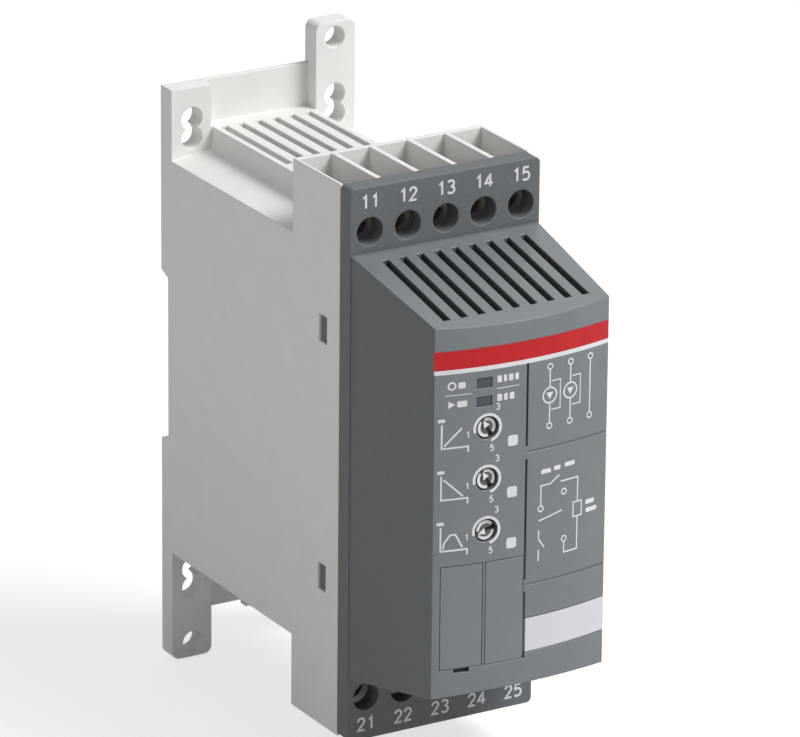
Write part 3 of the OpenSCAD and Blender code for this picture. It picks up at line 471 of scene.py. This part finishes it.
def offset_sides(points, width, closed):
    """Left and right edges of a line of even width, mitred at its corners."""
    left, right = [], []
    last = len(points) - 1
    for i, (x, z) in enumerate(points):
        before = points[i - 1] if i or closed else None
        after = points[(i + 1) % len(points)] if i < last or closed else None
        ways = []
        if before is not None:
            ways.append(Vector((x - before[0], z - before[1])).normalized())
        if after is not None:
            ways.append(Vector((after[0] - x, after[1] - z)).normalized())
        way = sum(ways, Vector((0.0, 0.0)))
        way = way.normalized() if way.length > 0.05 else ways[0]
        reach = width / 2 / max(0.55, way.dot(ways[0]))
        left.append((x - way.y * reach, z + way.x * reach))
        right.append((x + way.y * reach, z - way.x * reach))
    return left, right


class Print:
    """Collects the prisms of one printed piece."""

    def __init__(self, name, place):
        self.name = name
        self.place = place
        self.vertices = []
        self.faces = []

    def _layer(self, points, lift):
        start = len(self.vertices)
        self.vertices += [self.place(x, z, lift) for x, z in points]
        return list(range(start, start + len(points)))

    def area(self, outline):
        """A filled outline, counterclockwise from the front."""
        top = self._layer(outline, PRINT_LIFT)
        bottom = self._layer(outline, -PRINT_SINK)
        count = len(outline)
        self.faces.append(top)
        self.faces.append(bottom[::-1])
        for i in range(count):
            j = (i + 1) % count
            self.faces.append([top[j], top[i], bottom[i], bottom[j]])

    def line(self, points, width, closed=False):
        points = resampled(points + points[:1])[:-1] if closed else resampled(points)
        left, right = offset_sides(points, width, closed)
        top_l, top_r = self._layer(left, PRINT_LIFT), self._layer(right, PRINT_LIFT)
        low_l, low_r = self._layer(left, -PRINT_SINK), self._layer(right, -PRINT_SINK)
        count = len(points)
        for i in range(count if closed else count - 1):
            j = (i + 1) % count
            self.faces.append([top_l[i], top_r[i], top_r[j], top_l[j]])
            self.faces.append([low_l[i], low_l[j], low_r[j], low_r[i]])
            self.faces.append([top_r[i], low_r[i], low_r[j], top_r[j]])
            self.faces.append([top_l[i], top_l[j], low_l[j], low_l[i]])
        if not closed:
            self.faces.append([top_l[0], low_l[0], low_r[0], top_r[0]])
            self.faces.append([top_l[-1], top_r[-1], low_r[-1], low_l[-1]])

    def bar(self, x, z, width, height, radius=0.25):
        """A rounded bar about its middle."""
        points = []
        for sx, sz, turn in ((1, -1, -90), (1, 1, 0), (-1, 1, 90), (-1, -1, 180)):
            for step in (0, 30, 60, 90):
                a = math.radians(turn + step)
                points.append((x + sx * (width / 2 - radius) + radius * math.cos(a),
                               z + sz * (height / 2 - radius) + radius * math.sin(a)))
        self.area(points)

    def arc(self, x, z, radius, start, end, width):
        count = max(6, round(abs(end - start) / 8))
        turns = [math.radians(start + (end - start) * i / count) for i in range(count + 1)]
        self.line([(x + radius * math.cos(a), z + radius * math.sin(a)) for a in turns], width)

    def ring(self, x, z, radius, width):
        turns = [2 * math.pi * i / 32 for i in range(32)]
        self.line([(x + radius * math.cos(a), z + radius * math.sin(a)) for a in turns], width, closed=True)

    def digits(self, text, x, z, height, stroke):
        """Plain numerals about a middle point."""
        advance = height * DIGIT_ADVANCE
        x -= (advance * (len(text) - 1) + height * DIGIT_WIDTH) / 2
        for i, digit in enumerate(text):
            for points in DIGITS[digit]:
                self.line([(x + i * advance + u * height, z + (v - 0.5) * height) for u, v in points], stroke)

    def make(self, material, body):
        mesh = bpy.data.meshes.new(self.name)
        mesh.from_pydata(self.vertices, [], self.faces)
        mesh.materials.append(material)
        obj = bpy.data.objects.new(self.name, mesh)
        bpy.context.scene.collection.objects.link(obj)
        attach(obj, body)
        return obj


def terminal_numbers():
    """Plain terminal numbers above the upper and below the lower driver holes."""
    numbers = Print("terminal_numbers", on_terminal_face)
    for i in range(TERMINALS):
        x = (i - (TERMINALS - 1) / 2) * TERMINAL_PITCH
        for row, z in enumerate(NUMBER_ZS, 1):
            numbers.digits("%d%d" % (row, i + 1), x, z, NUMBER_H, NUMBER_STROKE)
    numbers.make(MATERIALS[INK], "housing")


def dial_scales():
    """A white scale round each dial, with plain numbers and a white field beside it."""
    scales = Print("dial_scales", on_panel)
    for z in DIAL_ZS:
        scales.arc(DIAL_X, z, SCALE_R, *SCALE_SPAN, SCALE_STROKE)
        for digit, across, up in SCALE_DIGITS:
            scales.digits(digit, DIAL_X + across, z + up, SCALE_DIGIT_H, SCALE_DIGIT_STROKE)
        scales.bar(FIELD_X, z - FIELD_DROP, FIELD_SIZE, FIELD_SIZE, FIELD_R)
    scales.make(MATERIALS[INK], "housing")


def ramp_icons():
    """Small time diagrams: rising, falling and stepped."""
    icons = Print("ramp_icons", on_panel)
    for dial_z, curve in zip(DIAL_ZS, ICON_CURVES):
        z = dial_z - ICON_DROP
        for points in (ICON_AXES, curve):
            icons.line([(ICON_X + u, z + v) for u, v in points], ICON_STROKE)
        icons.bar(ICON_X + ICON_BAR_PLACE[0], z + ICON_BAR_PLACE[1], *ICON_BAR_SIZE)
    icons.make(MATERIALS[INK], "housing")


def lamp_marks():
    """Simple marks beside the two indicator windows."""
    marks = Print("lamp_marks", on_panel)
    marks.ring(-17.0, 27.7, *MARK_RING)
    marks.bar(-14.9, 27.7, 1.5, MARK_BAR_H)
    marks.area([(-17.7, 22.9), (-16.3, 23.7), (-17.7, 24.5)])
    marks.bar(-14.8, 23.7, 2.1, MARK_BAR_H)
    for z, widths in MARK_ROWS:
        x = MARK_ROW_X
        for width in widths:
            marks.bar(x + width / 2, z, width, MARK_ROW_H, MARK_ROW_R)
            x += width + MARK_ROW_GAP
    marks.line([(-18.4, 25.7), (-12.9, 25.7)], RULE_STROKE)
    marks.line([(MARK_ROW_X, 26.0), (-2.2, 26.0)], RULE_STROKE)
    marks.make(MATERIALS[INK], "housing")


def wiring_diagram():
    """A plain three-line circuit and a control loop on the right half of the panel."""
    diagram = Print("wiring_diagram", on_panel)
    for x in PHASE_XS:
        for z in PHASE_ZS:
            diagram.ring(x, z, *JUNCTION_RING)
    for x in SWITCHED_XS:
        diagram.line([(x, 27.84), (x, 24.24)], WIRE_STROKE)
        diagram.line([(x, 20.56), (x, 16.56)], WIRE_STROKE)
        diagram.ring(x, SYMBOL_Z, *SYMBOL_RING)
        diagram.area([(x - 0.85, 23.0), (x, 21.5), (x + 0.85, 23.0)])
        diagram.line([(x + 0.4, 25.4), (x + 2.6, 25.4), (x + 2.6, 19.2), (x + 0.4, 19.2)], LOOP_STROKE)
    diagram.line([(15.6, 27.84), (15.6, 16.56)], WIRE_STROKE)
    diagram.line([(3.4, -1.24), (3.4, 3.0), (5.6, 3.0), (8.0, 4.5)], WIRE_STROKE)
    diagram.line([(8.3, 3.0), (12.8, 3.0), (12.8, -2.24)], WIRE_STROKE)
    diagram.line([(11.7, -2.4), (13.9, -2.4), (13.9, -5.6), (11.7, -5.6)], WIRE_STROKE, closed=True)
    diagram.line([(12.8, -5.76), (12.8, -12.8), (9.4, -12.8), (9.4, -10.56)], WIRE_STROKE)
    for x, z in CONTROL_RINGS:
        diagram.ring(x, z, *JUNCTION_RING)
    diagram.line([(3.0, -4.6), (8.8, -3.4)], WIRE_STROKE)
    diagram.line([(3.0, -6.6), (3.0, -8.6), (4.4, -10.6)], WIRE_STROKE)
    diagram.line([(3.0, -11.0), (3.0, -13.4)], WIRE_STROKE)
    for x, z, width in WORD_BARS:
        diagram.bar(x, z, width, WORD_BAR_H, WORD_BAR_R)
    diagram.make(MATERIALS[INK], "housing")


def dial_pointers():
    """White ink on the raised pointer and round the edge of each dial."""
    top_d = DIAL_FACE_D + DIAL_POINTER
    for body, z, turn in zip(DIALS, DIAL_ZS, DIAL_TURNS):
        c, s = math.cos(math.radians(turn)), math.sin(math.radians(turn))

        def on_dial(u, v, lift):
            return Vector((DIAL_X + c * u - s * v, -(top_d + lift), z + s * u + c * v)) * MM

        def on_disc(u, v, lift):
            return on_dial(u, v, lift - DIAL_POINTER)

        pointer = Print(body + "_pointer", on_dial)
        pointer.area(POINTER_OUTLINE)
        pointer.make(MATERIALS[INK], body)
        band = Print(body + "_band", on_disc)
        for start, end in BAND_SPANS:
            band.arc(0.0, 0.0, BAND_R, start, end, BAND_STROKE)
        band.make(MATERIALS[INK], body)


def latch_spring():
    """Round wire with closed end coils, squeezed as the latch is pulled."""
    low, high = (Vector(p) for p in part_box("latch_spring"))
    middle = (low + high) / 2
    wire = SPRING_WIRE_R * MM
    coil = (high.x - low.x) / 2 - wire
    turns, steps, sides = SPRING_TURNS, SPRING_STEPS, SPRING_SIDES
    length = high.z - low.z - 2 * wire
    rings = []
    for i in range(turns * steps + 1):
        share = i / (turns * steps)
        a = 2 * math.pi * turns * share
        centre = Vector((coil * math.cos(a), coil * math.sin(a), length * share))
        out = Vector((math.cos(a), math.sin(a), 0.0))
        rings.append([centre + out * wire * math.cos(2 * math.pi * k / sides)
                      + Vector((0.0, 0.0, wire * math.sin(2 * math.pi * k / sides))) for k in range(sides)])
    base = Vector((middle.x, middle.y, low.z + wire))
    vertices = [base + p for ring in rings for p in ring]
    faces = [list(range(sides))[::-1]]
    for i in range(len(rings) - 1):
        for k in range(sides):
            a, b = i * sides + k, i * sides + (k + 1) % sides
            faces.append([a, b, b + sides, a + sides])
    faces.append([len(vertices) - sides + k for k in range(sides)])
    mesh = bpy.data.meshes.new("latch_spring_wire")
    mesh.from_pydata(vertices, [], faces)
    mesh.polygons.foreach_set("use_smooth", [True] * len(mesh.polygons))
    mesh.materials.append(MATERIALS["spring_steel"])
    obj = bpy.data.objects.new("latch_spring_wire", mesh)
    bpy.context.scene.collection.objects.link(obj)
    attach(obj, "housing")
    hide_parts("latch_spring")
    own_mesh(obj)


# Stage: floor, light, camera
def white_when_seen(tree, strength_elsewhere):
    """White to the camera, to reflections and through lenses; a plain level of light elsewhere."""
    path = tree.nodes.new("ShaderNodeLightPath")
    seen = None
    for name in ("Is Camera Ray", "Is Glossy Ray", "Is Transmission Ray"):
        if seen is None:
            seen = path.outputs[name]
            continue
        top = tree.nodes.new("ShaderNodeMath")
        top.operation = "MAXIMUM"
        tree.links.new(seen, top.inputs[0])
        tree.links.new(path.outputs[name], top.inputs[1])
        seen = top.outputs[0]
    level = tree.nodes.new("ShaderNodeMapRange")
    level.inputs["To Min"].default_value = strength_elsewhere
    level.inputs["To Max"].default_value = 1.0
    tree.links.new(seen, level.inputs["Value"])
    return level.outputs["Result"]


def make_world():
    world = bpy.data.worlds.new("studio")
    bpy.context.scene.world = world
    world.use_nodes = True
    tree = world.node_tree
    background = tree.nodes["Background"]
    background.inputs["Color"].default_value = (1.0, 1.0, 1.0, 1.0)
    tree.links.new(white_when_seen(tree, WORLD_LIGHT), background.inputs["Strength"])


def make_floor(z):
    mesh = bpy.data.meshes.new("floor")
    reach = FLOOR_REACH
    mesh.from_pydata([(-reach, -reach, z), (reach, -reach, z), (reach, reach, z), (-reach, reach, z)],
                     [], [[0, 1, 2, 3]])
    material = bpy.data.materials.new("floor")
    material.use_nodes = True
    tree = material.node_tree
    shader = tree.nodes["Principled BSDF"]
    shader.inputs["Base Color"].default_value = (FLOOR_GREY, FLOOR_GREY, FLOOR_GREY, 1.0)
    shader.inputs["Roughness"].default_value = FLOOR_ROUGH
    glow = tree.nodes.new("ShaderNodeEmission")
    glow.inputs["Strength"].default_value = FLOOR_GLOW
    shadowed = tree.nodes.new("ShaderNodeBsdfDiffuse")
    shadowed.inputs["Color"].default_value = (FLOOR_SEEN, FLOOR_SEEN, FLOOR_SEEN, 1.0)
    seen = tree.nodes.new("ShaderNodeAddShader")
    tree.links.new(glow.outputs["Emission"], seen.inputs[0])
    tree.links.new(shadowed.outputs["BSDF"], seen.inputs[1])
    mix = tree.nodes.new("ShaderNodeMixShader")
    tree.links.new(white_when_seen(tree, 0.0), mix.inputs["Fac"])
    tree.links.new(shader.outputs["BSDF"], mix.inputs[1])
    tree.links.new(seen.outputs["Shader"], mix.inputs[2])
    tree.links.new(mix.outputs["Shader"], tree.nodes["Material Output"].inputs["Surface"])
    mesh.materials.append(material)
    obj = bpy.data.objects.new("floor", mesh)
    bpy.context.scene.collection.objects.link(obj)


def make_lamp(name, place, target, size, power):
    lamp = bpy.data.lights.new(name, "AREA")
    lamp.shape = "SQUARE"
    lamp.size = size
    lamp.energy = power
    obj = bpy.data.objects.new(name, lamp)
    obj.location = place
    obj.rotation_euler = (Vector(target) - Vector(place)).to_track_quat("-Z", "Y").to_euler()
    bpy.context.scene.collection.objects.link(obj)


def make_camera():
    """Camera at the photograph's viewing angle; the image is taken as 800 x 737."""
    turn = Matrix.Rotation(CAMERA_YAW, 3, "Z")
    tilt = Matrix.Rotation(CAMERA_PITCH, 3, "X")
    roll = Matrix.Rotation(CAMERA_ROLL, 3, "Z")
    ahead = Matrix(((1, 0, 0), (0, 0, -1), (0, 1, 0)))
    view = roll @ tilt @ ahead @ turn
    axes = Matrix((view[0], -view[1], -view[2])).transposed()
    data = bpy.data.cameras.new("camera")
    data.sensor_fit = "HORIZONTAL"
    data.sensor_width = SENSOR_W
    data.lens = CAMERA_FOCAL_PX * SENSOR_W / IMAGE_W
    data.clip_end = CAMERA_FAR
    obj = bpy.data.objects.new("camera", data)
    eye = -(view.transposed() @ Vector(CAMERA_SHIFT)) * MM
    obj.matrix_world = Matrix.Translation(eye) @ axes.to_4x4()
    bpy.context.scene.collection.objects.link(obj)
    bpy.context.scene.camera = obj


bpy.context.scene.view_settings.view_transform = "Standard"

make_camera()
make_world()
make_floor(cad_box[0][2] - FLOOR_GAP)
for lamp_name, lamp_place, lamp_size, lamp_power in LAMPS:
    make_lamp(lamp_name, lamp_place, LAMP_TARGET, lamp_size, lamp_power)

dress_nodes()
terminal_numbers()
dial_scales()
ramp_icons()
lamp_marks()
wiring_diagram()
dial_pointers()
latch_spring()
